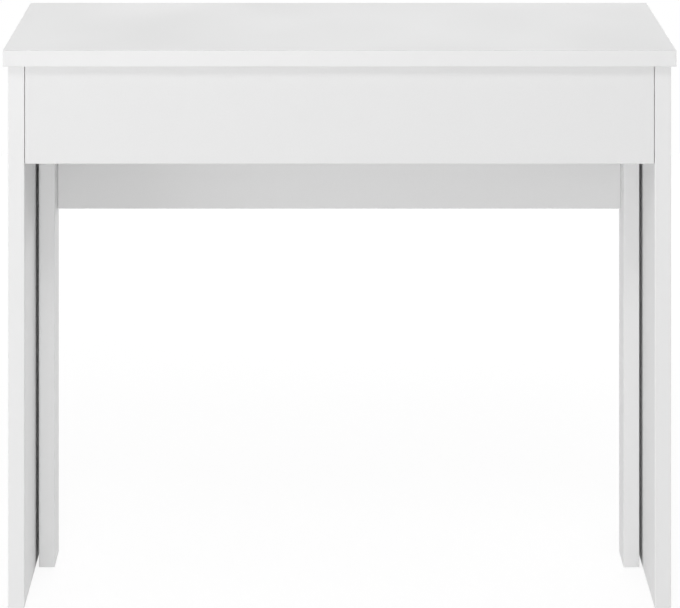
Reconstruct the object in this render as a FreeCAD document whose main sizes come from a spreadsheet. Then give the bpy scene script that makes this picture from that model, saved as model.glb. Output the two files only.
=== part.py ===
"""Extendable console table in white melamine-faced board.

A fixed frame of a top, two side panels and a back rail holds a pull-out extension: a leaf with a front
apron, on side boards that run in two full-extension ball-bearing slides, with two legs of its own.
The origin is on the floor in the middle of the footprint, +X is to the right, +Y to the back and +Z up.
Sizes are in millimetres.
"""
import FreeCAD
import Part
import Sketcher
import os

doc = FreeCAD.newDocument("ConsoleTable")

SIZES = (
    # the fixed frame
    ("top_width", 900),
    ("top_depth", 360),
    ("table_height", 750),
    ("board_thickness", 22),
    ("edge_radius", 1),
    ("side_overhang", 6),
    ("front_overhang", 10),
    ("back_rail_height", 130),
    # the pull-out extension
    ("apron_height", 131),
    ("extension_side_gap", 0.7),
    ("leaf_gap", 1),
    ("side_board_thickness", 14),
    ("side_board_height", 100),
    ("tie_rail_height", 60),
    ("rear_gap", 3),
    ("leg_depth", 60),
    ("leg_setback", 147),
    ("stretcher_height", 130),
    ("stretcher_drop", 85),
    # the ball-bearing slides
    ("slide_front_gap", 2),
    ("slide_rear_gap", 1),
    ("slide_height", 45),
    ("slide_thickness", 12.7),
    ("slide_wall", 1.2),
    ("slide_lip", 2),
    ("slide_bend_radius", 1.8),
    ("lip_setback", 1.3),
    ("running_gap", 0.3),
    ("ball_diameter", 4),
    ("ball_clearance", 0.2),
    ("race_depth", 0.4),
    ("ball_count", 5),
    ("ball_pitch", 26),
    ("cage_thickness", 0.6),
    ("cage_length", 130),
    ("cage_setback", 75),
    ("cage_hole_gap", 0.1),
    ("slide_screw_inset", 30),
    ("slide_slot_length", 14),
    ("slide_slot_width", 4.5),
    # screws
    ("screw_head_diameter", 7),
    ("screw_head_height", 1.2),
    ("screw_head_crown", 4.9),
    ("screw_diameter", 3.5),
    ("screw_length", 11),
    ("screw_hole_gap", 0.1),
    # cam locks and dowels
    ("cam_diameter", 15),
    ("cam_depth", 12),
    ("cam_axis_depth", 7.5),
    ("cam_setback", 34),
    ("cam_slot_width", 2),
    ("cam_slot_depth", 3),
    ("bolt_head_diameter", 6.4),
    ("bolt_head_length", 3),
    ("bolt_neck_diameter", 4.4),
    ("bolt_thread_diameter", 5),
    ("bolt_thread_length", 11),
    ("bolt_bore_diameter", 7.6),
    ("dowel_diameter", 8),
    ("dowel_length", 30),
    ("leg_dowel_length", 40),
    ("dowel_chamfer", 1),
    ("fixing_gap", 0.1),
    ("panel_cam_inset", 50),
    ("panel_dowel_inset", 90),
    ("rail_cam_drop", 40),
    ("rail_dowel_drop", 100),
    ("apron_cam_rise", 25),
    ("apron_dowel_rise", 75),
    ("leaf_cam_inset", 88),
    ("stretcher_cam_rise", 65),
    ("stretcher_dowel_rise", 20),
    ("leg_dowel_spacing", 30),
    # leg plates
    ("plate_width", 28),
    ("plate_height", 90),
    ("plate_thickness", 2),
    ("plate_corner_radius", 4),
    ("plate_inset", 5),
    ("plate_hole_inset", 7),
    ("plate_hole_rise", 32),
    # glides and buffers
    ("glide_diameter", 18),
    ("glide_height", 1),
    ("glide_rim", 0.5),
    ("glide_inset", 35),
    ("nail_diameter", 2.4),
    ("nail_length", 14),
    ("buffer_diameter", 10),
    ("buffer_face_diameter", 7.5),
    ("buffer_gap", 0.3),
)

PLACES = (
    # the fixed frame
    ("top_underside", "Sizes.table_height - Sizes.board_thickness"),
    ("panel_outer", "Sizes.top_width / 2 - Sizes.side_overhang"),
    ("panel_inner", "panel_outer - Sizes.board_thickness"),
    ("panel_front", "-Sizes.top_depth / 2 + Sizes.front_overhang"),
    ("panel_back", "Sizes.top_depth / 2"),
    ("panel_middle_x", "panel_outer - Sizes.board_thickness / 2"),
    ("rail_front", "panel_back - Sizes.board_thickness"),
    # the pull-out extension
    ("leaf_top", "top_underside - Sizes.leaf_gap"),
    ("leaf_underside", "leaf_top - Sizes.board_thickness"),
    ("leaf_half", "panel_inner - Sizes.extension_side_gap"),
    ("apron_back", "panel_front + Sizes.board_thickness"),
    ("extension_rear", "rail_front - Sizes.rear_gap"),
    ("side_outer", "panel_inner - Sizes.slide_thickness"),
    ("side_inner", "side_outer - Sizes.side_board_thickness"),
    ("side_middle_x", "side_outer - Sizes.side_board_thickness / 2"),
    ("side_bottom", "leaf_underside - Sizes.side_board_height"),
    ("tie_front", "extension_rear - Sizes.side_board_thickness"),
    ("leg_front", "panel_front + Sizes.leg_setback"),
    ("leg_back", "leg_front + Sizes.leg_depth"),
    ("leg_middle_y", "leg_front + Sizes.leg_depth / 2"),
    ("leg_middle_x", "side_inner + Sizes.board_thickness / 2"),
    ("stretcher_front", "leg_back - Sizes.board_thickness"),
    ("stretcher_bottom", "leaf_underside - Sizes.stretcher_drop - Sizes.stretcher_height"),
    # the slides: x counts from the side panel's inner face, height from the slide's middle
    ("slide_front", "apron_back + Sizes.slide_front_gap"),
    ("slide_rear", "extension_rear - Sizes.slide_rear_gap"),
    ("slide_length", "slide_rear - slide_front"),
    ("slide_middle_z", "side_bottom + Sizes.side_board_height / 2"),
    ("race", "Sizes.ball_diameter + 2 * Sizes.ball_clearance - 2 * Sizes.race_depth"),
    ("cabinet_half", "Sizes.slide_height / 2"),
    ("cabinet_race", "cabinet_half - Sizes.slide_wall"),
    ("cabinet_tip", "Sizes.slide_thickness - Sizes.lip_setback"),
    ("outer_cage_web", "Sizes.slide_wall + Sizes.screw_head_height + Sizes.running_gap"),
    ("middle_web", "outer_cage_web + Sizes.cage_thickness + Sizes.running_gap"),
    ("middle_half", "cabinet_race - race"),
    ("middle_race", "middle_half - Sizes.slide_wall"),
    ("middle_tip", "cabinet_tip - Sizes.running_gap"),
    ("inner_cage_web", "middle_web + Sizes.slide_wall + Sizes.running_gap"),
    ("drawer_tip", "inner_cage_web + Sizes.cage_thickness + Sizes.running_gap"),
    ("drawer_half", "middle_race - race"),
    ("drawer_web", "Sizes.slide_thickness - Sizes.slide_wall"),
    ("outer_ball_x", "(middle_web + cabinet_tip - Sizes.slide_wall) / 2"),
    ("outer_ball_z", "(cabinet_race + middle_half) / 2"),
    ("inner_ball_x", "(drawer_tip + middle_tip) / 2"),
    ("inner_ball_z", "(middle_race + drawer_half) / 2"),
    ("cage_front", "slide_front + Sizes.cage_setback"),
    ("cage_rear", "cage_front + Sizes.cage_length"),
)


def fill_sheet(name, cells):
    """A spreadsheet with one named cell to a row: the name in column A, its content in column B."""
    made = doc.addObject("Spreadsheet::Sheet", name)
    for row, (alias, content) in enumerate(cells, start=1):
        made.set(f"A{row}", alias)
        made.set(f"B{row}", content)
        made.setAlias(f"B{row}", alias)
    return made


sizes = fill_sheet("Sizes", [(alias, str(number)) for alias, number in SIZES])
places = fill_sheet("Places", [(alias, "=" + formula) for alias, formula in PLACES])
doc.recompute()


def mm(alias):
    """The number in a named cell of either sheet."""
    sheet = sizes if alias in dict(SIZES) else places
    return float(sheet.get(alias))


def place(piece, x, y, z):
    """Binds a piece's position to three expressions."""
    for axis, expression in zip("xyz", (x, y, z)):
        piece.setExpression(f"Placement.Base.{axis}", expression)


# Sketches and features

def new_sketch(body, role, name):
    """An empty sketch on one of the body's own origin planes."""
    sketch = body.newObject("Sketcher::SketchObject", name)
    plane = [feature for feature in body.Origin.OriginFeatures if feature.Role == role][0]
    sketch.AttachmentSupport = [(plane, "")]
    sketch.MapMode = "FlatFace"
    return sketch


def fix_point(sketch, geometry, point, across, up):
    """Ties a sketch point to two expressions, counted from the sketch's origin."""
    for kind, expression in (("DistanceX", across), ("DistanceY", up)):
        start = float(sketch.evalExpression(expression))
        index = sketch.addConstraint(Sketcher.Constraint(kind, -1, 1, geometry, point, start))
        sketch.setExpression(f"Constraints[{index}]", expression)


def outline_sketch(body, role, corners):
    """A closed outline of straight lines whose corners are pairs of expressions."""
    sketch = new_sketch(body, role, "Outline")
    points = [FreeCAD.Vector(*(float(sketch.evalExpression(part)) for part in corner)) for corner in corners]
    count = len(corners)
    for index in range(count):
        sketch.addGeometry(Part.LineSegment(points[index], points[(index + 1) % count]), False)
    for index in range(count):
        sketch.addConstraint(Sketcher.Constraint("Coincident", index, 2, (index + 1) % count, 1))
    for index, (across, up) in enumerate(corners):
        fix_point(sketch, index, 1, across, up)
    return sketch


def padded_body(label, role, corners, length):
    """A body padded from a straight-sided outline."""
    body = doc.addObject("PartDesign::Body", label)
    pad = body.newObject("PartDesign::Pad", "Pad")
    pad.Profile = outline_sketch(body, role, corners)
    pad.setExpression("Length", length)
    doc.recompute()
    return body


def turned_body(label, corners):
    """A body turned about its own Z axis from half of its section."""
    body = doc.addObject("PartDesign::Body", label)
    turn = body.newObject("PartDesign::Revolution", "Turn")
    turn.Profile = sketch = outline_sketch(body, "XZ_Plane", corners)
    turn.ReferenceAxis = (sketch, ["V_Axis"])
    doc.recompute()
    return body


def round_edges(body, radius, keep=lambda edge: True):
    """Rounds the chosen edges of the body's last feature."""
    base = body.Tip
    names = [f"Edge{number}" for number, edge in enumerate(base.Shape.Edges, start=1) if keep(edge)]
    fillet = body.newObject("PartDesign::Fillet", "Rounds")
    fillet.Base = (base, names)
    fillet.setExpression("Radius", radius)
    doc.recompute()
    return fillet


# Shared patterns for the fixings: each is made once, at its own origin, and placed in groups

def cam_pattern():
    """A cam lock disc: its face at Z = 0, open to its bolt along +X, with a driver cross in the face."""
    arm = "Sizes.cam_diameter / 3"
    edge = "Sizes.cam_slot_width / 2"
    disc = turned_body("cam_pattern", (
        ("0", "-Sizes.cam_depth"),
        ("Sizes.cam_diameter / 2 - Sizes.fixing_gap", "-Sizes.cam_depth"),
        ("Sizes.cam_diameter / 2 - Sizes.fixing_gap", "0"),
        ("0", "0")))
    cross = disc.newObject("PartDesign::Pocket", "Cross")
    cross.Profile = outline_sketch(disc, "XY_Plane", (
        (f"-{arm}", f"-{edge}"), (f"-{edge}", f"-{edge}"), (f"-{edge}", f"-{arm}"),
        (edge, f"-{arm}"), (edge, f"-{edge}"), (arm, f"-{edge}"),
        (arm, edge), (edge, edge), (edge, arm),
        (f"-{edge}", arm), (f"-{edge}", edge), (f"-{arm}", edge)))
    cross.setExpression("Length", "Sizes.cam_slot_depth")
    doc.recompute()
    mouth = doc.addObject("Part::Cylinder", "cam_mouth")
    mouth.setExpression("Radius", "Sizes.bolt_bore_diameter / 2")
    mouth.setExpression("Height", "Sizes.cam_diameter")
    mouth.Placement.Rotation = FreeCAD.Rotation(FreeCAD.Vector(0, 1, 0), 90)
    place(mouth, "0", "0", "-Sizes.cam_axis_depth")
    cam = doc.addObject("Part::Cut", "cam_open")
    cam.Base = disc
    cam.Tool = mouth
    return cam


def bolt_pattern():
    """A cam bolt along +Z from the cam's middle: head, neck, collar and the threaded end."""
    head = "Sizes.bolt_head_diameter / 2"
    neck = "Sizes.bolt_neck_diameter / 2"
    thread = "Sizes.bolt_thread_diameter / 2 - Sizes.fixing_gap"
    shoulder = "Sizes.cam_setback - Sizes.bolt_head_length"
    end = "Sizes.cam_setback + Sizes.bolt_thread_length"
    return turned_body("bolt_pattern", (
        ("0", "0"), (head, "0"),
        (head, "Sizes.bolt_head_length"), (neck, "Sizes.bolt_head_length"),
        (neck, shoulder), (head, shoulder),
        (head, "Sizes.cam_setback"), (thread, "Sizes.cam_setback"),
        (thread, end), ("0", end)))


def dowel_pattern(label, length):
    """A wooden dowel along Z, centred on the joint plane, with chamfered ends."""
    radius = "Sizes.dowel_diameter / 2 - Sizes.fixing_gap"
    narrow = radius + " - Sizes.dowel_chamfer"
    half = f"{length} / 2"
    return turned_body(label, (
        ("0", f"-{half}"), (narrow, f"-{half}"), (radius, f"-{half} + Sizes.dowel_chamfer"),
        (radius, f"{half} - Sizes.dowel_chamfer"), (narrow, half), ("0", half)))


def screw_pattern():
    """A pan-head screw: the head stands on Z = 0 towards +Z, the shank goes down to a point."""
    head = "Sizes.screw_head_diameter / 2"
    shank = "Sizes.screw_diameter / 2"
    tip = "-Sizes.screw_length"
    return turned_body("screw_pattern", (
        ("0", tip), (shank, f"{tip} + Sizes.screw_diameter"), (shank, "0"), (head, "0"),
        (head, "Sizes.screw_head_height / 2"), ("Sizes.screw_head_crown / 2", "Sizes.screw_head_height"),
        ("0", "Sizes.screw_head_height")))


def glide_pattern():
    """A nail-on floor glide: a bevelled disc from Z = 0 up to the board, and its nail."""
    radius = "Sizes.glide_diameter / 2"
    nail = "Sizes.nail_diameter / 2"
    top = "Sizes.glide_height + Sizes.nail_length"
    return turned_body("glide_pattern", (
        ("0", "0"), (f"{radius} - Sizes.glide_rim", "0"), (radius, "Sizes.glide_rim"),
        (radius, "Sizes.glide_height"), (nail, "Sizes.glide_height"),
        (nail, f"{top} - Sizes.nail_diameter"), ("0", top)))


def buffer_pattern():
    """A rubber stick-on buffer: its back on Z = 0, its domed face towards +Z."""
    radius = "Sizes.buffer_diameter / 2"
    height = "Sizes.rear_gap - Sizes.buffer_gap"
    return turned_body("buffer_pattern", (
        ("0", "0"), (radius, "0"), (radius, f"({height}) / 2"),
        ("Sizes.buffer_face_diameter / 2", height), ("0", height)))


X = FreeCAD.Vector(1, 0, 0)
Y = FreeCAD.Vector(0, 1, 0)
Z = FreeCAD.Vector(0, 0, 1)
SIDES = (("left", -1), ("right", 1))

patterns = {
    "cam": cam_pattern(),
    "bolt": bolt_pattern(),
    "dowel": dowel_pattern("dowel_pattern", "Sizes.dowel_length"),
    "leg_dowel": dowel_pattern("leg_dowel_pattern", "Sizes.leg_dowel_length"),
    "screw": screw_pattern(),
    "glide": glide_pattern(),
    "buffer": buffer_pattern(),
}
doc.recompute()
fixings = {}
bores = {}


def aimed(point, axis, cross=None):
    """A placement at a point with its Z along axis and, where given, its X along cross."""
    if cross is None:
        return FreeCAD.Placement(point, FreeCAD.Rotation(Z, axis))
    return FreeCAD.Placement(point, FreeCAD.Rotation(cross, FreeCAD.Vector(), axis, "ZXY"))


def fit(group, pattern, placement):
    """Adds one placed copy of a pattern to a group of fixings."""
    fixings.setdefault(group, []).append(patterns[pattern].Shape.copy().transformed(placement.Matrix))


def bore(boards, point, axis, diameter, depth):
    """Drills a round hole from a point along axis into each of the named boards."""
    for board in boards:
        bores.setdefault(board, []).append(Part.makeCylinder(diameter / 2, depth, point, axis))


def slot(piece, middle, depth):
    """Cuts a round-ended mounting slot along Y through the upright web of the named piece."""
    width = mm("slide_slot_width")
    half = (mm("slide_slot_length") - width) / 2
    low_x = middle - X * (depth / 2)
    bar = Part.makeBox(depth, 2 * half, width, low_x - Y * half - Z * (width / 2))
    ends = [Part.makeCylinder(width / 2, depth, low_x + Y * shift, X) for shift in (-half, half)]
    bores.setdefault(piece, []).append(bar.fuse(ends))


def cam_joint(group, holder, receiver, face, face_axis, bolt_axis):
    """Joins two boards with a cam in the holder's face and a bolt from the receiver."""
    reach = mm("cam_setback")
    middle = face - face_axis * mm("cam_axis_depth")
    fit(f"{group}_cam_locks", "cam", aimed(face, face_axis, bolt_axis))
    fit(f"{group}_cam_bolts", "bolt", aimed(middle, bolt_axis))
    bore([holder], face, -face_axis, mm("cam_diameter"), mm("cam_depth"))
    bore([holder], middle, bolt_axis, mm("bolt_bore_diameter"), reach)
    bore([receiver], middle + bolt_axis * reach, bolt_axis,
         mm("bolt_thread_diameter"), mm("bolt_thread_length"))


def dowel_joint(group, boards, point, axis, pattern="dowel"):
    """Joins two boards with a dowel across the joint plane at a point."""
    length = mm(f"{pattern}_length")
    fit(f"{group}_dowels", pattern, aimed(point, axis))
    bore(boards, point - axis * (length / 2), axis, mm("dowel_diameter"), length)


def screw_in(group, boards, point, axis):
    """Drives a screw whose head bears on a point; axis points out of the surface."""
    hole = mm("screw_diameter") + 2 * mm("screw_hole_gap")
    fit(group, "screw", aimed(point, axis))
    bore(boards, point, -axis, hole, mm("screw_length"))


# Where the fixings go

for side, sign in SIDES:
    panel = f"{side}_side_panel"
    side_board = f"{side}_side_board"
    leg = f"{side}_inner_leg"
    out = X * sign
    inward = -out
    reach = mm("cam_setback")

    for from_end, end in ((1, mm("panel_front")), (-1, mm("panel_back"))):
        cam_y = end + from_end * mm("panel_cam_inset")
        cam_joint("frame", panel, "table_top",
                  FreeCAD.Vector(sign * mm("panel_inner"), cam_y, mm("top_underside") - reach), inward, Z)
        dowel_y = end + from_end * mm("panel_dowel_inset")
        dowel_joint("frame", [panel, "table_top"],
                    FreeCAD.Vector(sign * mm("panel_middle_x"), dowel_y, mm("top_underside")
                                   - mm("dowel_length") / 2 + mm("board_thickness") / 2), Z)

    rail_cam_z = mm("top_underside") - mm("rail_cam_drop")
    rail_dowel_z = mm("top_underside") - mm("rail_dowel_drop")
    cam_joint("frame", "back_rail", panel,
              FreeCAD.Vector(sign * (mm("panel_inner") - reach), mm("rail_front"), rail_cam_z), -Y, out)
    dowel_joint("frame", ["back_rail", panel],
                FreeCAD.Vector(sign * mm("panel_inner"), mm("rail_front") + mm("board_thickness") / 2,
                               rail_dowel_z), out)

    apron_cam_z = mm("side_bottom") + mm("apron_cam_rise")
    apron_dowel_z = mm("side_bottom") + mm("apron_dowel_rise")
    cam_joint("extension", side_board, "front_apron",
              FreeCAD.Vector(sign * mm("side_inner"), mm("apron_back") + reach, apron_cam_z), inward, -Y)
    dowel_joint("extension", [side_board, "front_apron"],
                FreeCAD.Vector(sign * mm("side_middle_x"), mm("apron_back"), apron_dowel_z), Y)

    for from_end, end in ((1, mm("apron_back")), (-1, mm("extension_rear"))):
        cam_y = end + from_end * mm("leaf_cam_inset")
        cam_joint("extension", side_board, "extension_leaf",
                  FreeCAD.Vector(sign * mm("side_inner"), cam_y, mm("leaf_underside") - reach), inward, Z)

    tie_z = mm("leaf_underside") - mm("tie_rail_height") / 2
    cam_joint("extension", "rear_tie_rail", side_board,
              FreeCAD.Vector(sign * (mm("side_inner") - reach), mm("tie_front"), tie_z), -Y, out)

    stretcher_cam_z = mm("stretcher_bottom") + mm("stretcher_cam_rise")
    stretcher_dowel_z = mm("stretcher_bottom") + mm("stretcher_dowel_rise")
    cam_joint("extension", "stretcher_rail", leg,
              FreeCAD.Vector(sign * (mm("side_inner") - reach), mm("leg_back"), stretcher_cam_z), Y, out)
    dowel_joint("extension", ["stretcher_rail", leg],
                FreeCAD.Vector(sign * mm("side_inner"), mm("stretcher_front") + mm("board_thickness") / 2,
                               stretcher_dowel_z), out)

    for half in (-0.5, 0.5):
        dowel_y = mm("leg_middle_y") + half * mm("leg_dowel_spacing")
        dowel_joint("extension", [leg, side_board],
                    FreeCAD.Vector(sign * mm("side_middle_x"), dowel_y, mm("side_bottom")), Z, "leg_dowel")

    plate_x = sign * (mm("side_inner") - mm("plate_thickness"))
    plate_y = mm("leg_front") + mm("plate_inset")
    for hole_y in (plate_y + mm("plate_hole_inset"), plate_y + mm("plate_width") - mm("plate_hole_inset")):
        for board, rise in ((leg, -mm("plate_hole_rise")), (side_board, mm("plate_hole_rise"))):
            screw_in("leg_plate_screws", [board, f"{side}_leg_plate"],
                     FreeCAD.Vector(plate_x, hole_y, mm("side_bottom") + rise), inward)

    cabinet_x = sign * (mm("panel_inner") - mm("slide_wall"))
    drawer_x = sign * (mm("side_outer") + mm("slide_wall"))
    first_y = mm("slide_front") + mm("slide_screw_inset")
    last_y = mm("slide_rear") - mm("slide_screw_inset")
    for number, hole_y in enumerate(first_y + (last_y - first_y) * step / 4 for step in range(5)):
        on_cabinet = FreeCAD.Vector(cabinet_x, hole_y, mm("slide_middle_z"))
        on_drawer = FreeCAD.Vector(drawer_x, hole_y, mm("slide_middle_z"))
        if number % 2:
            slot(f"{side}_cabinet_member", on_cabinet, 2 * mm("slide_wall"))
            slot(f"{side}_drawer_member", on_drawer, 2 * mm("slide_wall"))
        else:
            screw_in("cabinet_member_screws", [panel, f"{side}_cabinet_member"], on_cabinet, inward)
            screw_in("drawer_member_screws", [side_board, f"{side}_drawer_member"], on_drawer, out)

    for from_end, end in ((1, mm("panel_front")), (-1, mm("panel_back"))):
        foot = FreeCAD.Vector(sign * mm("panel_middle_x"), end + from_end * mm("glide_inset"), 0)
        fit("panel_glides", "glide", aimed(foot, Z))
        bore([panel], foot, Z, mm("nail_diameter"), mm("glide_height") + mm("nail_length"))
    foot = FreeCAD.Vector(sign * mm("leg_middle_x"), mm("leg_middle_y"), 0)
    fit("leg_glides", "glide", aimed(foot, Z))
    bore([leg], foot, Z, mm("nail_diameter"), mm("glide_height") + mm("nail_length"))

    fit("closing_buffers", "buffer",
        aimed(FreeCAD.Vector(sign * mm("side_middle_x"), mm("rail_front"), mm("slide_middle_z")), -Y))


# Boards

nodes = []


def drilled(body, label):
    """The body with the holes that its fixings need, under the sub-part's own label."""
    if label not in bores:
        body.Label = label
        nodes.append(body)
        return
    drill = doc.addObject("Part::Feature", f"{label}_bores")
    drill.Shape = Part.makeCompound(bores[label])
    piece = doc.addObject("Part::Cut", f"{label}_drilled")
    piece.Base = body
    piece.Tool = drill
    piece.Label = label
    nodes.append(piece)


def board(label, width, depth, height, x, y, z):
    """A board cut square, with edge strip all round and its edges eased."""
    body = padded_body(f"{label}_blank", "XY_Plane", (
        ("0", "0"), (width, "0"), (width, depth), ("0", depth)), height)
    round_edges(body, "Sizes.edge_radius")
    place(body, x, y, z)
    drilled(body, label)


def mirrored_x(sign, inner, thickness):
    """The low X corner of a board that stands at inner, on the left or on the right."""
    return inner if sign > 0 else f"-({inner}) - {thickness}"


THICK = "Sizes.board_thickness"
THIN = "Sizes.side_board_thickness"

board("table_top", "Sizes.top_width", "Sizes.top_depth", THICK,
      "-Sizes.top_width / 2", "-Sizes.top_depth / 2", "Places.top_underside")
board("back_rail", "2 * Places.panel_inner", THICK, "Sizes.back_rail_height",
      "-Places.panel_inner", "Places.rail_front", "Places.top_underside - Sizes.back_rail_height")
board("front_apron", "2 * Places.leaf_half", THICK, "Sizes.apron_height",
      "-Places.leaf_half", "Places.panel_front", "Places.leaf_top - Sizes.apron_height")
board("extension_leaf", "2 * Places.leaf_half", "Places.extension_rear - Places.apron_back", THICK,
      "-Places.leaf_half", "Places.apron_back", "Places.leaf_underside")
board("rear_tie_rail", "2 * Places.side_inner", THIN, "Sizes.tie_rail_height",
      "-Places.side_inner", "Places.tie_front", "Places.leaf_underside - Sizes.tie_rail_height")
board("stretcher_rail", "2 * Places.side_inner", THICK, "Sizes.stretcher_height",
      "-Places.side_inner", "Places.stretcher_front", "Places.stretcher_bottom")
for side, sign in SIDES:
    board(f"{side}_side_panel", THICK, "Places.panel_back - Places.panel_front",
          "Places.top_underside - Sizes.glide_height",
          mirrored_x(sign, "Places.panel_inner", THICK), "Places.panel_front", "Sizes.glide_height")
    board(f"{side}_side_board", THIN, "Places.extension_rear - Places.apron_back", "Sizes.side_board_height",
          mirrored_x(sign, "Places.side_inner", THIN), "Places.apron_back", "Places.side_bottom")
    board(f"{side}_inner_leg", THICK, "Sizes.leg_depth", "Places.side_bottom - Sizes.glide_height",
          mirrored_x(sign, "Places.side_inner", THICK), "Places.leg_front", "Sizes.glide_height")


# Leg plates

def leg_plate(side, sign):
    """A flat steel plate over the seam between a side board and its leg."""
    label = f"{side}_leg_plate"
    body = padded_body(f"{label}_blank", "XY_Plane", (
        ("0", "0"), ("Sizes.plate_thickness", "0"),
        ("Sizes.plate_thickness", "Sizes.plate_width"), ("0", "Sizes.plate_width")), "Sizes.plate_height")
    round_edges(body, "Sizes.plate_corner_radius",
                lambda edge: abs(edge.tangentAt(edge.FirstParameter).x) > 0.5)
    inner = "Places.side_inner - Sizes.plate_thickness"
    place(body, mirrored_x(sign, inner, "Sizes.plate_thickness"),
          "Places.leg_front + Sizes.plate_inset", "Places.side_bottom - Sizes.plate_height / 2")
    drilled(body, label)


# Slides: profiles are drawn with X from the side panel inwards and Y up from the slide's middle

def bent_profile(web_near, web_far, half, wall, tip, lip=None):
    """The outline of a rolled channel: a web and two flanges, with turned-in lips where lip is given."""
    inner = f"{half} - {wall}"
    upper = [(web_near, half), (tip, half)]
    if lip:
        lip_end = f"{inner} - {lip}"
        upper += [(tip, lip_end), (f"{tip} - {wall}", lip_end), (f"{tip} - {wall}", inner)]
    else:
        upper += [(tip, inner)]
    upper += [(web_far, inner)]
    lower = [(across, f"-({up})") for across, up in reversed(upper)]
    return upper + lower


NEAR = 0.01


def slide_piece(label, sign, profile, front, length, bends):
    """One rolled steel member or cage, seen along the slide; the right-hand one is turned half round."""
    body = padded_body(f"{label}_blank", "XZ_Plane", profile, length)
    if bends:
        corners = [[float(body.evalExpression(part)) for part in bend] for bend in bends]

        def at_bend(edge):
            """Whether an edge runs along the slide at one of the outer bends."""
            centre = edge.CenterOfMass
            along = abs(edge.tangentAt(edge.FirstParameter).y) > 0.5
            return along and any(abs(centre.x - x) + abs(centre.z - z) < NEAR for x, z in corners)

        round_edges(body, "Sizes.slide_bend_radius", at_bend)
    if sign > 0:
        body.Placement.Rotation = FreeCAD.Rotation(Y, 180)
    wall_x = "Places.panel_inner" if sign > 0 else "-Places.panel_inner"
    place(body, wall_x, f"{front} + {length}", "Places.slide_middle_z")
    drilled(body, label)


def ball_rows(side, sign, which, members):
    """The balls of one cage in two rows, the holes that hold them and the races they roll in."""
    label = f"{side}_{which}_balls"
    radius = mm("ball_diameter") / 2
    seat = radius + mm("cage_hole_gap")
    count = int(mm("ball_count"))
    first = (mm("cage_front") + mm("cage_rear") - (count - 1) * mm("ball_pitch")) / 2
    ball_x = sign * (mm("panel_inner") - mm(f"{which}_ball_x"))
    for flange in (-1, 1):
        ball_z = mm("slide_middle_z") + flange * mm(f"{which}_ball_z")
        bore([f"{side}_{member}_member" for member in members],
             FreeCAD.Vector(ball_x, mm("slide_front"), ball_z), Y,
             mm("ball_diameter") + 2 * mm("ball_clearance"), mm("slide_length"))
        for number in range(count):
            centre = FreeCAD.Vector(ball_x, first + number * mm("ball_pitch"), ball_z)
            fixings.setdefault(label, []).append(Part.makeSphere(radius, centre))
            bore([f"{side}_{which}_ball_cage"], centre - Z * radius, Z, 2 * seat, 2 * radius)


for side, sign in SIDES:
    leg_plate(side, sign)
    ball_rows(side, sign, "outer", ("cabinet", "middle"))
    ball_rows(side, sign, "inner", ("middle", "drawer"))
    slide_piece(f"{side}_cabinet_member", sign,
                bent_profile("0", "Sizes.slide_wall", "Places.cabinet_half", "Sizes.slide_wall",
                             "Places.cabinet_tip", "Sizes.slide_lip"),
                "Places.slide_front", "Places.slide_length",
                [(across, up) for across in ("0", "Places.cabinet_tip")
                 for up in ("Places.cabinet_half", "-Places.cabinet_half")])
    slide_piece(f"{side}_middle_member", sign,
                bent_profile("Places.middle_web", "Places.middle_web + Sizes.slide_wall",
                             "Places.middle_half", "Sizes.slide_wall", "Places.middle_tip"),
                "Places.slide_front", "Places.slide_length",
                [("Places.middle_web", up) for up in ("Places.middle_half", "-Places.middle_half")])
    slide_piece(f"{side}_drawer_member", sign,
                bent_profile("Sizes.slide_thickness", "Places.drawer_web", "Places.drawer_half",
                             "Sizes.slide_wall", "Places.drawer_tip"),
                "Places.slide_front", "Places.slide_length",
                [("Sizes.slide_thickness", up) for up in ("Places.drawer_half", "-Places.drawer_half")])
    for which, tip in (("outer", "Places.cabinet_tip - Sizes.slide_wall"), ("inner", "Places.drawer_web")):
        web = f"Places.{which}_cage_web"
        slide_piece(f"{side}_{which}_ball_cage", sign,
                    bent_profile(web, f"{web} + Sizes.cage_thickness",
                                 f"Places.{which}_ball_z + Sizes.cage_thickness / 2", "Sizes.cage_thickness",
                                 f"{tip} - Sizes.running_gap"),
                    "Places.cage_front", "Sizes.cage_length", [])


# Fixings, one sub-part to a group

for group, copies in fixings.items():
    piece = doc.addObject("Part::Feature", group)
    piece.Shape = Part.makeCompound(copies)
    nodes.append(piece)

doc.recompute()


# Checks and export

for thing in doc.Objects:
    if "Invalid" in thing.State or "Error" in thing.State:
        raise RuntimeError(f"{thing.Label} failed to build")
for piece in nodes:
    if piece.Shape.isNull() or not piece.Shape.isValid() or not piece.Shape.Solids:
        raise RuntimeError(f"{piece.Label} is not a valid solid")

os.makedirs("parts", exist_ok=True)
for piece in nodes:
    piece.Shape.exportStep(f"parts/{piece.Label}.step")
    print(f"{piece.Label}: {len(piece.Shape.Solids)} solids, {piece.Shape.Volume / 1000:.1f} cm3")
print(f"{len(nodes)} sub-parts")
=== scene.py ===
"""White extendable console table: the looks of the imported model, in metres, in the model's own frame."""
import math

import bmesh
import bpy
from mathutils import Matrix, Vector


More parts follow.
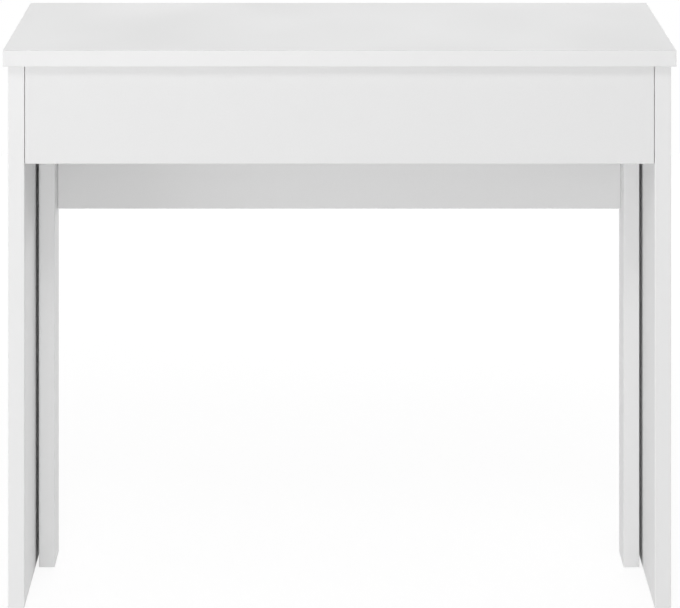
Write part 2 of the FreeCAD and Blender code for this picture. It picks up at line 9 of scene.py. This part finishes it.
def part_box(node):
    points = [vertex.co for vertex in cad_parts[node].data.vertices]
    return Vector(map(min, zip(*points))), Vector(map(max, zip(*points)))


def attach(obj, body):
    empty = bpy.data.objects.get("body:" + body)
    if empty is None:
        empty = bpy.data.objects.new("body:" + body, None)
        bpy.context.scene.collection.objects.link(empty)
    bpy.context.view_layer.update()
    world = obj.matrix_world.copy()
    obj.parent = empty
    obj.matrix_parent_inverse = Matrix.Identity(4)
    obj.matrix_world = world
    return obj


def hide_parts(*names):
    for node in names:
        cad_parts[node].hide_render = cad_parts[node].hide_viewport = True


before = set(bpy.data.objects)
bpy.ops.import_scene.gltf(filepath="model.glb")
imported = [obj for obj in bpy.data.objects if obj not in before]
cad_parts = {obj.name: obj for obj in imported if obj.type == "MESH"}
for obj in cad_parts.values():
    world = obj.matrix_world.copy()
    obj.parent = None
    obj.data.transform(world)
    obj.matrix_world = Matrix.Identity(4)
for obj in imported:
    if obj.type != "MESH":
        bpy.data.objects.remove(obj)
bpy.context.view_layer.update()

# Camera
# A view camera stands in front of the table, a little left of its middle and well above it. Its back stays
# upright while its lens looks down, so the legs stay parallel in the picture, and the shear does that here.
PHOTO_WIDTH = 680
PHOTO_HEIGHT = 608
TOP_EDGE_PIXELS = 674
DEPTH_LINES_MEET = Vector((327.6, -501.6))
EYE_DISTANCE = 3.822
EYE_ABOVE_TOP = 0.737
EYE_LEFT = 0.016
SENSOR_MM = 36
SIGHT_ENDS = 50

top_low, top_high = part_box("table_top")
focal_pixels = TOP_EDGE_PIXELS * EYE_DISTANCE / (top_high.x - top_low.x)
eye = Vector((-EYE_LEFT, top_low.y - EYE_DISTANCE, top_high.z + EYE_ABOVE_TOP))
aim = Vector((PHOTO_WIDTH / 2 - DEPTH_LINES_MEET.x, focal_pixels, DEPTH_LINES_MEET.y - PHOTO_HEIGHT / 2))
upright_back = Matrix.Identity(4)
upright_back.col[1] = (0, 0, 1, 0)
upright_back.col[2] = (*(-aim.normalized()), 0)
upright_back.col[3] = (*eye, 1)

scene = bpy.context.scene
camera = bpy.data.objects.new("camera", bpy.data.cameras.new("camera"))
tripod = bpy.data.objects.new("tripod", None)
scene.collection.objects.link(camera)
scene.collection.objects.link(tripod)
camera.parent = tripod
camera.matrix_parent_inverse = upright_back
camera.data.sensor_width = SENSOR_MM
camera.data.lens = aim.length / PHOTO_WIDTH * SENSOR_MM
camera.data.clip_end = SIGHT_ENDS
scene.camera = camera

# Table top and extension leaf
# Two flat boards of chipboard faced with white melamine, pressed between lightly textured plates. Their
# edges carry a 1 mm ABS strip, rounded over by the edge bander, with a hairline of glue beside the face.
MM = 0.001
LYING_FLAT = (0, 0, 1)
MELAMINE_WHITE = "#E7E7E7"
MELAMINE_ROUGHNESS = 0.55
PEARL_MM = 2.5
PEARL_DEPTH_MM = 0.01
PEARL_SHADE = 0.985
WIPED_PATCH_MM = 180
WIPED_ROUGHNESS = 0.52
UNWIPED_ROUGHNESS = 0.58
STRIP_WHITE = "#E9E9E9"
STRIP_ROUGHNESS = 0.4
GLUE_LINE = "#E2E2E1"
# Cosines of the angle between the surface and the board's face: where the face starts, and the glue line.
FACE_FROM = 0.99
GLUE_AT = 0.97
GLUE_BAND = 0.02
# A noise texture seldom leaves these two values.
NOISE_LOW = 0.3
NOISE_HIGH = 0.7
# The sockets of a Mix node's colours share their names with others, so they go by their numbers.
COLOUR_A = 6
COLOUR_B = 7
COLOUR_MIXED = 2


def linear(hex_colour):
    """An sRGB hex colour as linear red, green, blue and alpha."""
    parts = [int(hex_colour[start:start + 2], 16) / 255 for start in (1, 3, 5)]
    return (*(((part + 0.055) / 1.055) ** 2.4 if part > 0.04045 else part / 12.92 for part in parts), 1)


def new_material(name, colour, roughness, metallic=0.0):
    """A material with these plain values on its shader, with its node tree and that shader."""
    material = bpy.data.materials.new(name)
    material.use_nodes = True
    shader = material.node_tree.nodes["Principled BSDF"]
    shader.inputs["Base Color"].default_value = linear(colour)
    shader.inputs["Roughness"].default_value = roughness
    shader.inputs["Metallic"].default_value = metallic
    return material, material.node_tree, shader


def node(tree, kind, sockets, **settings):
    """Adds a node, sets its properties, and sets or links its input sockets."""
    made = tree.nodes.new(kind)
    for name, value in settings.items():
        setattr(made, name, value)
    for socket, value in sockets.items():
        if isinstance(value, bpy.types.NodeSocket):
            tree.links.new(value, made.inputs[socket])
        else:
            made.inputs[socket].default_value = value
    return made


def melamine_board(name, face):
    """Melamine-faced board, named for its stance, with its faces square to the given axis.

    The eye sees an even satin white with a faint pearl grain on the faces, and a smoother strip on the
    edges. The real pearl is 0.6 mm wide; it is drawn at 2.5 mm, or it would not show.
    """
    material, tree, shader = new_material(name, MELAMINE_WHITE, MELAMINE_ROUGHNESS)
    place = node(tree, "ShaderNodeTexCoord", {}).outputs["Object"]
    normal = node(tree, "ShaderNodeNewGeometry", {}).outputs["Normal"]
    turned = node(tree, "ShaderNodeVectorMath", {
        0: normal, 1: face}, operation="DOT_PRODUCT").outputs["Value"]
    turned = node(tree, "ShaderNodeMath", {0: turned}, operation="ABSOLUTE").outputs["Value"]
    on_face = node(tree, "ShaderNodeMath", {
        0: turned, 1: FACE_FROM}, operation="GREATER_THAN").outputs["Value"]
    at_glue = node(tree, "ShaderNodeMath", {
        0: turned, 1: GLUE_AT, 2: GLUE_BAND}, operation="COMPARE").outputs["Value"]
    pearl = node(tree, "ShaderNodeTexNoise", {
        "Vector": place, "Scale": 1 / (PEARL_MM * MM), "Detail": 3.0, "Roughness": 0.6}).outputs["Fac"]
    wiped = node(tree, "ShaderNodeTexNoise", {
        "Vector": place, "Scale": 1 / (WIPED_PATCH_MM * MM), "Detail": 2.0}).outputs["Fac"]
    shade = node(tree, "ShaderNodeMapRange", {
        "Value": pearl, "From Min": NOISE_LOW, "From Max": NOISE_HIGH,
        "To Min": PEARL_SHADE, "To Max": 1.0}).outputs["Result"]
    printed = node(tree, "ShaderNodeMix", {
        "Factor": 1.0, COLOUR_A: linear(MELAMINE_WHITE), COLOUR_B: shade},
        data_type="RGBA", blend_type="MULTIPLY").outputs[COLOUR_MIXED]
    edged = node(tree, "ShaderNodeMix", {
        "Factor": on_face, COLOUR_A: linear(STRIP_WHITE), COLOUR_B: printed},
        data_type="RGBA").outputs[COLOUR_MIXED]
    white = node(tree, "ShaderNodeMix", {
        "Factor": at_glue, COLOUR_A: edged, COLOUR_B: linear(GLUE_LINE)},
        data_type="RGBA").outputs[COLOUR_MIXED]
    tree.links.new(white, shader.inputs["Base Color"])
    satin = node(tree, "ShaderNodeMapRange", {
        "Value": wiped, "From Min": NOISE_LOW, "From Max": NOISE_HIGH,
        "To Min": WIPED_ROUGHNESS, "To Max": UNWIPED_ROUGHNESS}).outputs["Result"]
    satin = node(tree, "ShaderNodeMix", {
        "Factor": on_face, "A": STRIP_ROUGHNESS, "B": satin}).outputs["Result"]
    tree.links.new(satin, shader.inputs["Roughness"])
    bump = node(tree, "ShaderNodeBump", {
        "Height": pearl, "Strength": on_face, "Distance": PEARL_DEPTH_MM * MM}).outputs["Normal"]
    tree.links.new(bump, shader.inputs["Normal"])
    return material


def finish(material, *names):
    """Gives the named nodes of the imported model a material."""
    for name in names:
        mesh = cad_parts[name].data
        mesh.materials.clear()
        mesh.materials.append(material)


finish(melamine_board("white_melamine_lying_flat", LYING_FLAT), "table_top", "extension_leaf")

# Side panels, side boards and inner legs
# The same melamine-faced board standing on its end, with its faces to the sides: the two panels that the top
# rests on, the two boards that hang the leaf in its slides, and the narrow legs doweled under those boards.
FACING_SIDES = (1, 0, 0)
finish(melamine_board("white_melamine_facing_sides", FACING_SIDES), "left_side_panel", "right_side_panel",
       "left_side_board", "right_side_board", "left_inner_leg", "right_inner_leg")

# Apron and rails
# The same board on its long edge, with its faces to the front and back: the apron that hides the leaf, the
# rail between the panels' back edges, the tie rail behind the leaf and the stretcher between the legs.
FACING_FRONT = (0, 1, 0)
finish(melamine_board("white_melamine_facing_front", FACING_FRONT), "front_apron", "back_rail",
       "rear_tie_rail", "stretcher_rail")

# Slide members and ball cages
# Full-extension drawer slides, cold-rolled from zinc-plated strip: a cabinet member screwed to the panel, a
# middle member, a drawer member screwed to the side board, and two thin cages that space the balls between.
ZINC = "#C3C6C9"
ZINC_SHADE = "#AEB2B6"
ZINC_ROUGHNESS = 0.3
ZINC_CLOUD_MM = 12
STREAK_MM = 0.8
STREAK_LENGTH_MM = 40
STREAK_DEPTH_MM = 0.02
STREAK_BUMP = 0.25
STREAK_BRIGHT = 0.24
STREAK_DULL = 0.42


def zinc_plate(name):
    """Bright zinc plate on rolled strip: silvery with a cool tint, fine streaks along the rolled length and
    faint clouds where the plating took unevenly."""
    material, tree, shader = new_material(name, ZINC, ZINC_ROUGHNESS, metallic=1.0)
    place = node(tree, "ShaderNodeTexCoord", {}).outputs["Object"]
    across = 1 / (STREAK_MM * MM)
    along = 1 / (STREAK_LENGTH_MM * MM)
    stretched = node(tree, "ShaderNodeMapping", {
        "Vector": place, "Scale": (across, along, across)}).outputs["Vector"]
    streak = node(tree, "ShaderNodeTexNoise", {
        "Vector": stretched, "Scale": 1.0, "Detail": 2.0}).outputs["Fac"]
    cloud = node(tree, "ShaderNodeTexNoise", {
        "Vector": place, "Scale": 1 / (ZINC_CLOUD_MM * MM), "Detail": 3.0}).outputs["Fac"]
    silver = node(tree, "ShaderNodeMix", {
        "Factor": cloud, COLOUR_A: linear(ZINC), COLOUR_B: linear(ZINC_SHADE)},
        data_type="RGBA").outputs[COLOUR_MIXED]
    tree.links.new(silver, shader.inputs["Base Color"])
    gloss = node(tree, "ShaderNodeMapRange", {
        "Value": streak, "From Min": NOISE_LOW, "From Max": NOISE_HIGH,
        "To Min": STREAK_BRIGHT, "To Max": STREAK_DULL}).outputs["Result"]
    tree.links.new(gloss, shader.inputs["Roughness"])
    bump = node(tree, "ShaderNodeBump", {
        "Height": streak, "Strength": STREAK_BUMP, "Distance": STREAK_DEPTH_MM * MM}).outputs["Normal"]
    tree.links.new(bump, shader.inputs["Normal"])
    return material


zinc_plated_steel = zinc_plate("zinc_plated_steel")
for side in ("left", "right"):
    finish(zinc_plated_steel, f"{side}_cabinet_member", f"{side}_middle_member", f"{side}_drawer_member",
           f"{side}_outer_ball_cage", f"{side}_inner_ball_cage")

# Slide balls
# Ground and polished balls of hardened bearing steel, held in two rows to a cage. They are as bright as a
# mirror under a thin film of grease, which dulls them in patches.
BEARING_STEEL = "#D2D2D3"
BALL_ROUGHNESS = 0.1
GREASE_PATCH_MM = 3
GREASE_FROM = 0.4
GREASE_FULL = 0.65
CLEAN_ROUGHNESS = 0.06
GREASED_ROUGHNESS = 0.3
bearing_steel, tree, shader = new_material(
    "polished_bearing_steel", BEARING_STEEL, BALL_ROUGHNESS, metallic=1.0)
place = node(tree, "ShaderNodeTexCoord", {}).outputs["Object"]
grease = node(tree, "ShaderNodeTexNoise", {
    "Vector": place, "Scale": 1 / (GREASE_PATCH_MM * MM)}).outputs["Fac"]
film = node(tree, "ShaderNodeMapRange", {
    "Value": grease, "From Min": GREASE_FROM, "From Max": GREASE_FULL,
    "To Min": CLEAN_ROUGHNESS, "To Max": GREASED_ROUGHNESS}).outputs["Result"]
tree.links.new(film, shader.inputs["Roughness"])
finish(bearing_steel, "left_outer_balls", "right_outer_balls", "left_inner_balls", "right_inner_balls")

# Leg plates
# Flat plates stamped from zinc-plated strip and screwed over the seam between each side board and its leg,
# so that the leg doesn't work loose when the extension is pulled.
finish(zinc_plated_steel, "left_leg_plate", "right_leg_plate")

# Screws
# Pan-head chipboard screws, cold-headed from zinc-plated wire with a driver cross stamped into the head.
# They hold the slides' members to the boards and the leg plates to the legs.
HEAD_MM = 7.0
HEAD_HEIGHT_MM = 1.2
HEAD_RIM_MM = 0.15
HEAD_SIDES = 32
SHOULDER_MM = 6.2
SHOULDER_HEIGHT_MM = 1.02
CROWN_MM = 4.9
SHANK_MM = 3.5
SCREW_MM = 11.0
CROSS_ARM_MM = 3.6
CROSS_SLOT_MM = 0.9
CROSS_DEPTH_MM = 0.9
CROSS_TURN = 0.7
SEAM_MM = 0.001
WELD_MM = 0.01


def lathe(outline, sides):
    """A closed mesh turned about Z from a profile that starts and ends on the axis."""
    built = bmesh.new()
    profile = [built.verts.new((radius * MM, 0, height * MM)) for radius, height in outline]
    edges = [built.edges.new(pair) for pair in zip(profile, profile[1:])]
    bmesh.ops.spin(built, geom=profile + edges, axis=(0, 0, 1), cent=(0, 0, 0), angle=math.tau, steps=sides)
    bmesh.ops.remove_doubles(built, verts=built.verts, dist=SEAM_MM * MM)
    bmesh.ops.recalc_face_normals(built, faces=built.faces)
    return built


def as_object(built, name):
    """Links a built mesh into the scene as an object."""
    mesh = bpy.data.meshes.new(name)
    built.to_mesh(mesh)
    built.free()
    thing = bpy.data.objects.new(name, mesh)
    scene.collection.objects.link(thing)
    return thing


def screw_mesh():
    """One screw: its head stands on Z = 0, its shank points down, and its cross is cut out of the crown."""
    turned = as_object(lathe([
        (0, -SCREW_MM), (SHANK_MM / 2, -SCREW_MM + SHANK_MM), (SHANK_MM / 2, 0),
        (HEAD_MM / 2 - HEAD_RIM_MM, 0), (HEAD_MM / 2, HEAD_RIM_MM), (HEAD_MM / 2, HEAD_HEIGHT_MM / 2),
        (SHOULDER_MM / 2, SHOULDER_HEIGHT_MM), (CROWN_MM / 2, HEAD_HEIGHT_MM), (0, HEAD_HEIGHT_MM)],
        HEAD_SIDES), "screw_blank")
    punch = bmesh.new()
    for turn in (0, math.pi / 2):
        size = Matrix.Diagonal((CROSS_ARM_MM * MM, CROSS_SLOT_MM * MM, 2 * CROSS_DEPTH_MM * MM, 1))
        at_crown = Matrix.Translation((0, 0, HEAD_HEIGHT_MM * MM))
        bmesh.ops.create_cube(punch, size=1, matrix=at_crown @ Matrix.Rotation(turn, 4, "Z") @ size)
    cutter = as_object(punch, "screw_punch")
    cut = turned.modifiers.new("cross", "BOOLEAN")
    cut.object = cutter
    cut.operation = "DIFFERENCE"
    cut.solver = "EXACT"
    cut.use_self = True
    mesh = bpy.data.meshes.new_from_object(turned.evaluated_get(bpy.context.evaluated_depsgraph_get()))
    bpy.data.objects.remove(turned)
    bpy.data.objects.remove(cutter)
    return mesh


def single_boxes(name):
    """The lowest and highest corner of each separate solid in a node, from left to right."""
    built = bmesh.new()
    built.from_mesh(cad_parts[name].data)
    bmesh.ops.remove_doubles(built, verts=built.verts, dist=WELD_MM * MM)
    left = set(built.verts)
    boxes = []
    while left:
        found = [left.pop()]
        for vert in found:
            near = {edge.other_vert(vert) for edge in vert.link_edges} & left
            left -= near
            found += near
        corners = list(zip(*(vert.co for vert in found)))
        boxes.append((Vector(map(min, corners)), Vector(map(max, corners))))
    built.free()
    return sorted(boxes, key=lambda box: [round(side / MM) for side in box[0]])


one_screw = screw_mesh()
for group, body, heads_inward in (
        ("cabinet_member_screws", "frame", True),
        ("leg_plate_screws", "extension", True),
        ("drawer_member_screws", "extension", False)):
    joined = bmesh.new()
    for number, (low, high) in enumerate(single_boxes(group)):
        middle = (low + high) / 2
        outward = math.copysign(1, middle.x)
        pointing = -outward if heads_inward else outward
        head_end = high.x if pointing > 0 else low.x
        seat = Vector((head_end - pointing * HEAD_HEIGHT_MM * MM, middle.y, middle.z))
        aimed = Vector((0, 0, 1)).rotation_difference(Vector((pointing, 0, 0))).to_matrix().to_4x4()
        driven = Matrix.Rotation(number * CROSS_TURN, 4, "Z")
        single = one_screw.copy()
        single.transform(Matrix.Translation(seat) @ aimed @ driven)
        joined.from_mesh(single)
        bpy.data.meshes.remove(single)
    screws = as_object(joined, f"detailed_{group}")
    screws.data.materials.append(zinc_plated_steel)
    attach(screws, body)
    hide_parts(group)
bpy.data.meshes.remove(one_screw)

# Cam locks
# Discs die-cast in zinc alloy and left as cast, dull grey with a fine grain, sunk flush into the boards'
# hidden faces. A turn of the cross draws the head of the cam bolt in and pulls the joint tight.
ZINC_ALLOY = "#A7A9AC"
ZINC_ALLOY_ROUGHNESS = 0.45
CAST_GRAIN_MM = 0.7
CAST_GRAIN_DEPTH_MM = 0.05
CAST_GRAIN_BUMP = 0.4
CAST_SMOOTH = 0.38
CAST_DULL = 0.56
zinc_alloy, tree, shader = new_material(
    "die_cast_zinc_alloy", ZINC_ALLOY, ZINC_ALLOY_ROUGHNESS, metallic=1.0)
place = node(tree, "ShaderNodeTexCoord", {}).outputs["Object"]
grain = node(tree, "ShaderNodeTexNoise", {
    "Vector": place, "Scale": 1 / (CAST_GRAIN_MM * MM), "Detail": 4.0}).outputs["Fac"]
matt = node(tree, "ShaderNodeMapRange", {
    "Value": grain, "From Min": NOISE_LOW, "From Max": NOISE_HIGH,
    "To Min": CAST_SMOOTH, "To Max": CAST_DULL}).outputs["Result"]
tree.links.new(matt, shader.inputs["Roughness"])
bump = node(tree, "ShaderNodeBump", {
    "Height": grain, "Strength": CAST_GRAIN_BUMP, "Distance": CAST_GRAIN_DEPTH_MM * MM}).outputs["Normal"]
tree.links.new(bump, shader.inputs["Normal"])
finish(zinc_alloy, "frame_cam_locks", "extension_cam_locks")

# Cam bolts
# Turned steel bolts, zinc plated, whose coarse end bites into one board while their head reaches through the
# edge of the other to its cam.
finish(zinc_plated_steel, "frame_cam_bolts", "extension_cam_bolts")

# Dowels
# Plain turned beech pegs with chamfered ends, glued across the joints beside the cams. Fine brown flecks of
# the wood's rays lie in a pale pinkish ground.
BEECH = "#CDAA80"
BEECH_ROUGHNESS = 0.6
FLECK = "#A97E55"
FLECK_MM = 1.2
FLECK_LENGTH_MM = 6
FLECK_FROM = 0.5
FLECK_FULL = 0.65
beech, tree, shader = new_material("turned_beech", BEECH, BEECH_ROUGHNESS)
place = node(tree, "ShaderNodeTexCoord", {}).outputs["Object"]
fleck_scale = tuple(1 / (size * MM) for size in (FLECK_MM, FLECK_LENGTH_MM, FLECK_LENGTH_MM))
fibre = node(tree, "ShaderNodeMapping", {"Vector": place, "Scale": fleck_scale}).outputs["Vector"]
rays = node(tree, "ShaderNodeTexNoise", {"Vector": fibre, "Scale": 1.0, "Detail": 3.0}).outputs["Fac"]
fleck = node(tree, "ShaderNodeMapRange", {
    "Value": rays, "From Min": FLECK_FROM, "From Max": FLECK_FULL}).outputs["Result"]
wood = node(tree, "ShaderNodeMix", {
    "Factor": fleck, COLOUR_A: linear(BEECH), COLOUR_B: linear(FLECK)},
    data_type="RGBA").outputs[COLOUR_MIXED]
tree.links.new(wood, shader.inputs["Base Color"])
finish(beech, "frame_dowels", "extension_dowels")

# Floor glides
# Discs moulded in white polyethylene with a nail through the middle, knocked into the ends of the panels and
# legs. They are waxy, slightly see-through and scuffed by the floor.
POLYETHYLENE = "#E4E4E1"
POLYETHYLENE_ROUGHNESS = 0.45
SEE_THROUGH = 0.15
SEE_THROUGH_MM = 1
SCUFF_MM = 1.5
SCUFF_FROM = 0.35
UNSCUFFED_ROUGHNESS = 0.4
SCUFFED_ROUGHNESS = 0.65
polyethylene, tree, shader = new_material("moulded_polyethylene", POLYETHYLENE, POLYETHYLENE_ROUGHNESS)
shader.inputs["Subsurface Weight"].default_value = SEE_THROUGH
shader.inputs["Subsurface Radius"].default_value = 3 * (SEE_THROUGH_MM * MM,)
place = node(tree, "ShaderNodeTexCoord", {}).outputs["Object"]
scuff = node(tree, "ShaderNodeTexNoise", {
    "Vector": place, "Scale": 1 / (SCUFF_MM * MM), "Detail": 4.0}).outputs["Fac"]
worn = node(tree, "ShaderNodeMapRange", {
    "Value": scuff, "From Min": SCUFF_FROM, "From Max": NOISE_HIGH,
    "To Min": UNSCUFFED_ROUGHNESS, "To Max": SCUFFED_ROUGHNESS}).outputs["Result"]
tree.links.new(worn, shader.inputs["Roughness"])
finish(polyethylene, "panel_glides", "leg_glides")

# Closing buffers
# Domed stick-on buffers of soft grey rubber on the back rail, where the side boards' back ends come to rest.
# The rubber is matt, with the faint bloom that it gets in use.
RUBBER = "#6E6F71"
RUBBER_DARK = "#67686A"
RUBBER_BLOOM = "#7C7D7E"
RUBBER_ROUGHNESS = 0.8
BLOOM_MM = 2
rubber, tree, shader = new_material("soft_grey_rubber", RUBBER, RUBBER_ROUGHNESS)
place = node(tree, "ShaderNodeTexCoord", {}).outputs["Object"]
bloom = node(tree, "ShaderNodeTexNoise", {
    "Vector": place, "Scale": 1 / (BLOOM_MM * MM), "Detail": 3.0}).outputs["Fac"]
dusty = node(tree, "ShaderNodeMix", {
    "Factor": bloom, COLOUR_A: linear(RUBBER_DARK), COLOUR_B: linear(RUBBER_BLOOM)},
    data_type="RGBA").outputs[COLOUR_MIXED]
tree.links.new(dusty, shader.inputs["Base Color"])
finish(rubber, "closing_buffers")

# Floor and backdrop
# A roll of white paper under and behind the table. The camera sees it as white, with a trace of the table's
# shadow near the table, while the table is lit by it as by any white floor. Near the table the white is just
# so far over 1 that it and the lit paper's share add up to 1.
PAPER_WHITE = "#F4F4F4"
PAPER_ROUGHNESS = 0.9
PAPER_HALF = 30
PAPER_WHITENED = 0.8
WHITE_NEAR_TABLE = 1.06
SHADOW_REACH = 1.1
PLAIN_WHITE_FROM = 2.6
WHITE = (1, 1, 1, 1)


def seen_directly(tree):
    """1 for rays from the camera and for reflected or transmitted ones, 0 for the light on surfaces."""
    path = node(tree, "ShaderNodeLightPath", {}).outputs
    seen = node(tree, "ShaderNodeMath", {
        0: path["Is Camera Ray"], 1: path["Is Glossy Ray"]}, operation="MAXIMUM").outputs["Value"]
    return node(tree, "ShaderNodeMath", {
        0: seen, 1: path["Is Transmission Ray"]}, operation="MAXIMUM").outputs["Value"]


sheet = bmesh.new()
bmesh.ops.create_grid(sheet, x_segments=2, y_segments=2, size=PAPER_HALF)
floor = as_object(sheet, "floor")
paper, tree, shader = new_material("white_paper", PAPER_WHITE, PAPER_ROUGHNESS)
place = node(tree, "ShaderNodeTexCoord", {}).outputs["Object"]
away = node(tree, "ShaderNodeVectorMath", {0: place}, operation="LENGTH").outputs["Value"]
share = node(tree, "ShaderNodeMapRange", {
    "Value": away, "From Min": SHADOW_REACH, "From Max": PLAIN_WHITE_FROM,
    "To Min": PAPER_WHITENED, "To Max": 1.0}).outputs["Result"]
whitened = node(tree, "ShaderNodeMath", {
    0: seen_directly(tree), 1: share}, operation="MULTIPLY").outputs["Value"]
strength = node(tree, "ShaderNodeMapRange", {
    "Value": away, "From Min": SHADOW_REACH, "From Max": PLAIN_WHITE_FROM,
    "To Min": WHITE_NEAR_TABLE, "To Max": 1.0}).outputs["Result"]
plain = node(tree, "ShaderNodeEmission", {"Color": WHITE, "Strength": strength}).outputs["Emission"]
mixed = node(tree, "ShaderNodeMixShader", {
    0: whitened, 1: shader.outputs["BSDF"], 2: plain}).outputs["Shader"]
tree.links.new(mixed, tree.nodes["Material Output"].inputs["Surface"])
floor.data.materials.append(paper)

# Studio light
# An even white surround with seven soft boxes: a narrow one in front and a small one high above it, two to
# the left, a weak one to the right, and two behind, a high one for the top and a low one for the legs.
SURROUND = 0.44
world = bpy.data.worlds.new("studio")
scene.world = world
world.use_nodes = True
tree = world.node_tree
surround = tree.nodes["Background"]
surround.inputs["Color"].default_value = WHITE
surround.inputs["Strength"].default_value = SURROUND
backdrop = node(tree, "ShaderNodeBackground", {"Color": WHITE, "Strength": 1.0})
either = node(tree, "ShaderNodeMixShader", {
    0: seen_directly(tree), 1: surround.outputs["Background"], 2: backdrop.outputs["Background"]})
tree.links.new(either.outputs["Shader"], tree.nodes["World Output"].inputs["Surface"])

KNEE_HEIGHT = Vector((0, 0, 0.4))
for name, place, width, height, watts in (
        ("front_soft_box", Vector((-0.5, -5.0, 0.8)), 0.5, 1.0, 45),
        ("front_high_soft_box", Vector((0.0, -2.2, 3.4)), 2.2, 0.9, 25),
        ("left_soft_box", Vector((-4.0, -0.85, 0.9)), 2.2, 2.0, 26),
        ("left_front_soft_box", Vector((-3.2, -2.4, 0.5)), 1.5, 0.8, 18),
        ("right_soft_box", Vector((4.0, -0.5, 1.0)), 2.2, 2.0, 12),
        ("back_soft_box", Vector((0.0, 3.5, 2.5)), 3.0, 2.0, 43),
        ("back_right_soft_box", Vector((2.0, 3.0, 0.6)), 1.5, 1.0, 22)):
    lamp = bpy.data.lights.new(name, "AREA")
    lamp.shape = "RECTANGLE"
    lamp.size = width
    lamp.size_y = height
    lamp.energy = watts
    soft_box = bpy.data.objects.new(name, lamp)
    soft_box.location = place
    soft_box.rotation_euler = (KNEE_HEIGHT - place).to_track_quat("-Z", "Y").to_euler()
    scene.collection.objects.link(soft_box)

scene.view_settings.view_transform = "Standard"
